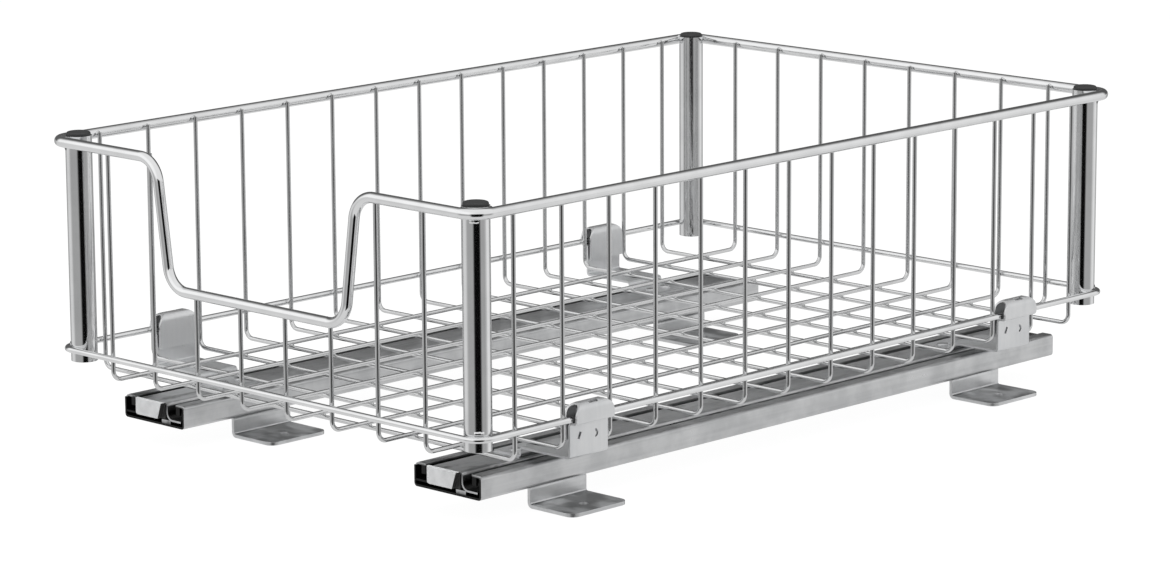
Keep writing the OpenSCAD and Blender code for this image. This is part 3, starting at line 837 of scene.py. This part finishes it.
def makeSeams():
    # Flat seams that hold the rim and the ring on each post
    meshes = []
    for name, rodZ, rodR in (("underRim", rimZ, rimR), ("overRim", rimZ, rimR), ("overRing", ringZ, ringR)):
        seam = seams[name]
        z = rodZ + seam["over"][0] * rodR + seam["over"][1] * seam["width"]
        points, edges = [], []
        for sx in (-1, 1):
            for sy in (-1, 1):
                first = len(points)
                points += seamArc(seam, sx, sy, z)
                edges += [(i, i + 1) for i in range(first, len(points) - 1)]
        base = bpy.data.meshes.new("seamPath")
        base.from_pydata(points, edges, [])
        values = {"Width": seam["width"], "Ripple": seamFinish["ripple"],
                  "Ripple Scale": seamFinish["rippleScale"], "Material": finishes["chromed_rod"]}
        meshes.append(grownMesh("postSeams", weldSeam, base, values))
    addPiece("postSeams", joinMeshes("postSeams", meshes), "basket", "chromed_rod")


def joinMeshes(name, meshes):
    made = bmesh.new()
    for mesh in meshes:
        made.from_mesh(mesh)
    joined = bpy.data.meshes.new(name)
    made.to_mesh(joined)
    made.free()
    joined.materials.append(meshes[0].materials[0])
    joined.shade_smooth()
    return joined


makeBeads()
makeSeams()


# Sheet metal: the solids again with softened edges

sheetEdges = {
    "bracket": 0.22 * mm,
    "foot": 0.35 * mm,
    "slide": 0.16 * mm,
    "bumper": 0.4 * mm,
    "block": 0.5 * mm,
    "retainer": 0.12 * mm,
    "sharpAngle": 38,  # edges sharper than this are rounded
    "mergeWithin": 0.002 * mm,
    "flatWithin": 0.6,  # degrees
}


def softened(node, name, slot, width, segments=2, marks=None):
    # A merged copy of the node with its sheared edges rounded; the mark function gives each face corner its
    # grease and painted shade
    made = bmesh.new()
    made.from_mesh(frame["nodes"][node].data)
    bmesh.ops.remove_doubles(made, verts=made.verts, dist=sheetEdges["mergeWithin"])
    flat = math.radians(sheetEdges["flatWithin"])
    bmesh.ops.dissolve_limit(made, angle_limit=flat, verts=made.verts, edges=made.edges)
    mesh = bpy.data.meshes.new(name)
    made.to_mesh(mesh)
    made.free()
    holder = bpy.data.objects.new(name, mesh)
    bpy.context.scene.collection.objects.link(holder)
    bevel = holder.modifiers.new("bevel", "BEVEL")
    bevel.width = width
    bevel.segments = segments
    bevel.limit_method = "ANGLE"
    bevel.angle_limit = math.radians(sheetEdges["sharpAngle"])
    bevel.use_clamp_overlap = True
    bevel.harden_normals = False
    weigh = holder.modifiers.new("weigh", "WEIGHTED_NORMAL")
    weigh.keep_sharp = True
    graph = bpy.context.evaluated_depsgraph_get()
    result = bpy.data.meshes.new_from_object(holder.evaluated_get(graph), depsgraph=graph)
    result.name = name
    bpy.data.objects.remove(holder)
    result.materials.clear()
    result.materials.append(finishes[slot])
    if marks:
        found = [marks(result.vertices[v].co, face.normal) for face in result.polygons for v in face.vertices]
        result.attributes.new("grease", "FLOAT", "CORNER").data.foreach_set("value", found)
    addPiece(name, result, frame["nodes"][node]["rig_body"], slot, [node])


def camel(name):
    head, *rest = name.split("_")
    return head + "".join(word.capitalize() for word in rest)


# Where the slides and blocks turn black: grease on the lips and web, painted shade in the hollows, on
# undersides and on cut faces
grease = {
    "cutDepth": 0.3 * mm,  # faces nearer to a front end than this are its cut face
    "cutTurn": -0.3,  # and face forwards by at least this
    "wall": 1.15 * mm,  # from the outer member's side to its inner face
    "skin": 1 * mm,  # from the outer member's top and underside to its inner faces
    "lug": (5.5 * mm, 13.8 * mm),  # the outer member's lug, to the right of the middle
    "lugLow": 1.3 * mm,  # height over the outer member's underside from which its lug is left without painted shade
    "sideDrop": 2.2 * mm,  # depth below the inner member's top from which its sides get painted shade
    "blockFront": 1.8 * mm,  # the block is left without painted shade from its front end to this depth
    "level": 0.7,  # a face whose normal has this much of Z counts as level
    "lipSmear": 0.4,  # grease on the outer member's lips, 1 is thick
    "webSmear": 0.12,  # grease on the inner member's web
}


def onCutFace(place, normal, low):
    return normal.y < grease["cutTurn"] and place.y < low.y + grease["cutDepth"]


def outerGreaseAndShade(side):
    low, high, middle = spanOf(side + "_outer_slide")
    half = high.x - middle.x - grease["wall"]
    lugFrom, lugTo = grease["lug"]

    def mark(place, normal):
        across = place.x - middle.x
        # painted shade on the cut face but its lug and in the hollow between the walls; grease on the lips
        if onCutFace(place, normal, low):
            onLug = lugFrom < across < lugTo and place.z > low.z + grease["lugLow"]
            return 0.0 if onLug else 1.0
        if abs(across) < half and low.z + grease["skin"] < place.z < high.z - grease["skin"]:
            return 1.0
        onLip = normal.z > grease["level"] and place.z > high.z - grease["skin"]
        return grease["lipSmear"] if onLip else 0.0
    return mark


def innerGreaseAndShade(side):
    low, high, middle = spanOf(side + "_inner_slide")

    def mark(place, normal):
        # painted shade on the left half of the cut face, on the sides and on the underside; grease smears on
        # the web
        if onCutFace(place, normal, low):
            return 1.0 if place.x < middle.x else 0.0
        if place.z < high.z - grease["sideDrop"] or normal.z < -grease["level"]:
            return 1.0
        return grease["webSmear"]
    return mark


def blockGreaseAndShade(side):
    low = spanOf(side + "_front_block")[0]

    def mark(place, normal):
        # painted shade on the block's sides, back and underside; its front and top stay light
        ahead = place.y < low.y + grease["blockFront"] and normal.x < 0.6 and normal.z > -0.5
        return 0.0 if ahead or normal.z > 0.8 else 1.0
    return mark


postCorners = ["front_left", "front_right", "rear_left", "rear_right"]
for corner in postCorners:
    softened(corner + "_bracket", camel(corner) + "Bracket", "bracket_zinc", sheetEdges["bracket"])
    softened(corner + "_foot", camel(corner) + "Foot", "foot_zinc", sheetEdges["foot"])
for side in ("left", "right"):
    softened(side + "_outer_slide", side + "OuterSlide", "slide_zinc", sheetEdges["slide"],
             marks=outerGreaseAndShade(side))
    softened(side + "_inner_slide", side + "InnerSlide", "slide_zinc", sheetEdges["slide"],
             marks=innerGreaseAndShade(side))
    softened(side + "_rear_bumper", side + "RearBumper", "bumper_rubber", sheetEdges["bumper"], 3)
    softened(side + "_front_block", side + "FrontBlock", "block_plastic", sheetEdges["block"], 3,
             marks=blockGreaseAndShade(side))
    for row in ("inboard", "outboard"):
        node = side + "_" + row + "_retainer"
        softened(node, camel(node), "retainer_steel", sheetEdges["retainer"])
print("sheet metal and blocks are in place")


# Turned and moulded parts: a profile of (radius, height) swept round Z

turned = {
    "turn": 3.0,  # a copy is turned by up to this, in radians
    "seed": 5,
    "mergeWithin": 0.001 * mm,
    "sharpAngle": 40,
}


def turnedMesh(name, profile, steps):
    made = bmesh.new()
    verts = [made.verts.new((r, 0, z)) for r, z in profile]
    edges = [made.edges.new(pair) for pair in zip(verts, verts[1:])]
    bmesh.ops.spin(made, geom=verts + edges, cent=(0, 0, 0), axis=(0, 0, 1), angle=2 * math.pi, steps=steps)
    bmesh.ops.remove_doubles(made, verts=made.verts, dist=turned["mergeWithin"])
    bmesh.ops.recalc_face_normals(made, faces=made.faces)
    mesh = bpy.data.meshes.new(name)
    made.to_mesh(mesh)
    made.free()
    smoothShade(mesh, turned["sharpAngle"])
    return mesh


def copiesOf(name, mesh, places, slot, body, replaced):
    # Each copy is turned about Z at random, so that no two catch the light alike
    copied = bpy.data.objects.new(name + "Part", mesh)
    bpy.context.scene.collection.objects.link(copied)
    values = {"Copied": copied, "Turn": turned["turn"], "Tilt": 0.0, "Size Spread": 0.0,
              "Seed": turned["seed"], "Material": finishes[slot]}
    base = pointMesh(name + "Points", places, [(1, 1, 1)] * len(places))
    grown = grownMesh(name, copiesOnPoints, base, values)
    bpy.data.objects.remove(copied)
    addPiece(name, grown, body, slot, replaced)


caps = {
    "dome": 0.3 * mm,  # rise of the top's middle over its edge
    "domeSteps": 6,
    "round": 1.1 * mm,
    "footHeight": 0.25 * mm,  # small bevel where the cap sits on the post
    "footInset": 0.15 * mm,
    "plugRadius": 6.05 * mm,
    "ribPitch": 0.8 * mm,
    "ribDepth": 0.3 * mm,
    "ribSlope": 0.2 * mm,
    "plugNose": 0.6 * mm,
    "steps": 48,
}


def makeCaps():
    low, high, middle = spanOf("front_right_post_cap")
    edge, height, depth = high.x - middle.x, high.z - postHigh.z, postHigh.z - low.z
    dome, r, plug, rib = caps["dome"], caps["round"], caps["plugRadius"], caps["ribDepth"]
    shares = [k / caps["domeSteps"] for k in range(caps["domeSteps"])]
    profile = [(edge * s, height - dome * s ** 2) for s in shares if edge * s < edge - r]
    profile += [(edge - r + r * math.sin(a), height - dome - r + r * math.cos(a))
                for a in (0.2, 0.5, 0.8, 1.1, 1.4)]
    profile += [(edge, caps["footHeight"]), (edge - caps["footInset"], 0.0), (plug, 0.0)]
    for k in range(1, int(depth / caps["ribPitch"])):
        z = -k * caps["ribPitch"]
        profile += [(plug, z + rib), (plug - rib, z + rib - caps["ribSlope"]), (plug - rib, z)]
    profile += [(plug - caps["plugNose"], -depth), (0.0, -depth)]
    mesh = turnedMesh("capPart", profile, caps["steps"])
    places = [(sx * postMiddle.x, sy * postMiddle.y, postHigh.z) for sx in (-1, 1) for sy in (-1, 1)]
    copiesOf("postCaps", mesh, places, "cap_plastic", "basket", [c + "_post_cap" for c in postCorners])


rivets = {
    "shank": 2.0 * mm,
    "head": 3.5 * mm,
    "headHeight": 1.2 * mm,
    "rimShare": 0.25,  # height of the head's edge, as a share of the head's height
    "tailHead": 3.1 * mm,
    "tailBulge": 0.2 * mm,
    "tailRound": 0.4 * mm,
    "dimple": 1.2 * mm,
    "steps": 28,
}


def rivetMesh(low, high):
    # A domed head over the sheets and a flatter upset tail under them
    head, tail, tall, rim = rivets["head"], rivets["tailHead"], rivets["headHeight"], rivets["rimShare"]
    profile = [(head * math.sin(a), high + tall * (rim + (1 - rim) * math.cos(a)))
               for a in (0.0, 0.3, 0.6, 0.9, 1.2, math.pi / 2)]
    profile += [(head, high), (rivets["shank"], high), (rivets["shank"], low), (tail, low),
                (tail + rivets["tailBulge"], low - tall * 0.35),
                (tail - rivets["tailRound"], low - tall * 0.8),
                (rivets["dimple"], low - tall * 0.95), (0.0, low - tall * 0.7)]
    return turnedMesh("rivetPart", profile, rivets["steps"])


def islandMiddles(node):
    # The middle of each separate solid of a node in X and Y, in the order of the node's vertices
    made = bmesh.new()
    made.from_mesh(frame["nodes"][node].data)
    bmesh.ops.remove_doubles(made, verts=made.verts, dist=turned["mergeWithin"])
    seen, middles = set(), []
    for start in made.verts:
        if start in seen:
            continue
        group, queue = set(), [start]
        while queue:
            vert = queue.pop()
            if vert not in group:
                group.add(vert)
                queue += [edge.other_vert(vert) for edge in vert.link_edges]
        seen |= group
        xs, ys = [v.co.x for v in group], [v.co.y for v in group]
        middles.append(((min(xs) + max(xs)) / 2, (min(ys) + max(ys)) / 2, 0.0))
    made.free()
    return middles


def makeRivets():
    for node, name, body in (("bracket_rivets", "bracketRivets", "basket"),
                             ("foot_rivets", "footRivets", "cabinet_side")):
        low, high, _ = spanOf(node)
        mesh = rivetMesh(low.z + rivets["headHeight"], high.z - rivets["headHeight"])
        copiesOf(name, mesh, islandMiddles(node), "rivet_zinc", body, [node])


makeCaps()
makeRivets()
print("caps and rivets are in place")


# Finishes on the nodes that stay

def dress():
    for node in frame["nodes"].values():
        slot = node.data.materials[0].name
        if not node.hide_render and slot in finishes:
            node.material_slots[0].material = finishes[slot]


dress()
print("finishes are on the nodes that stay")
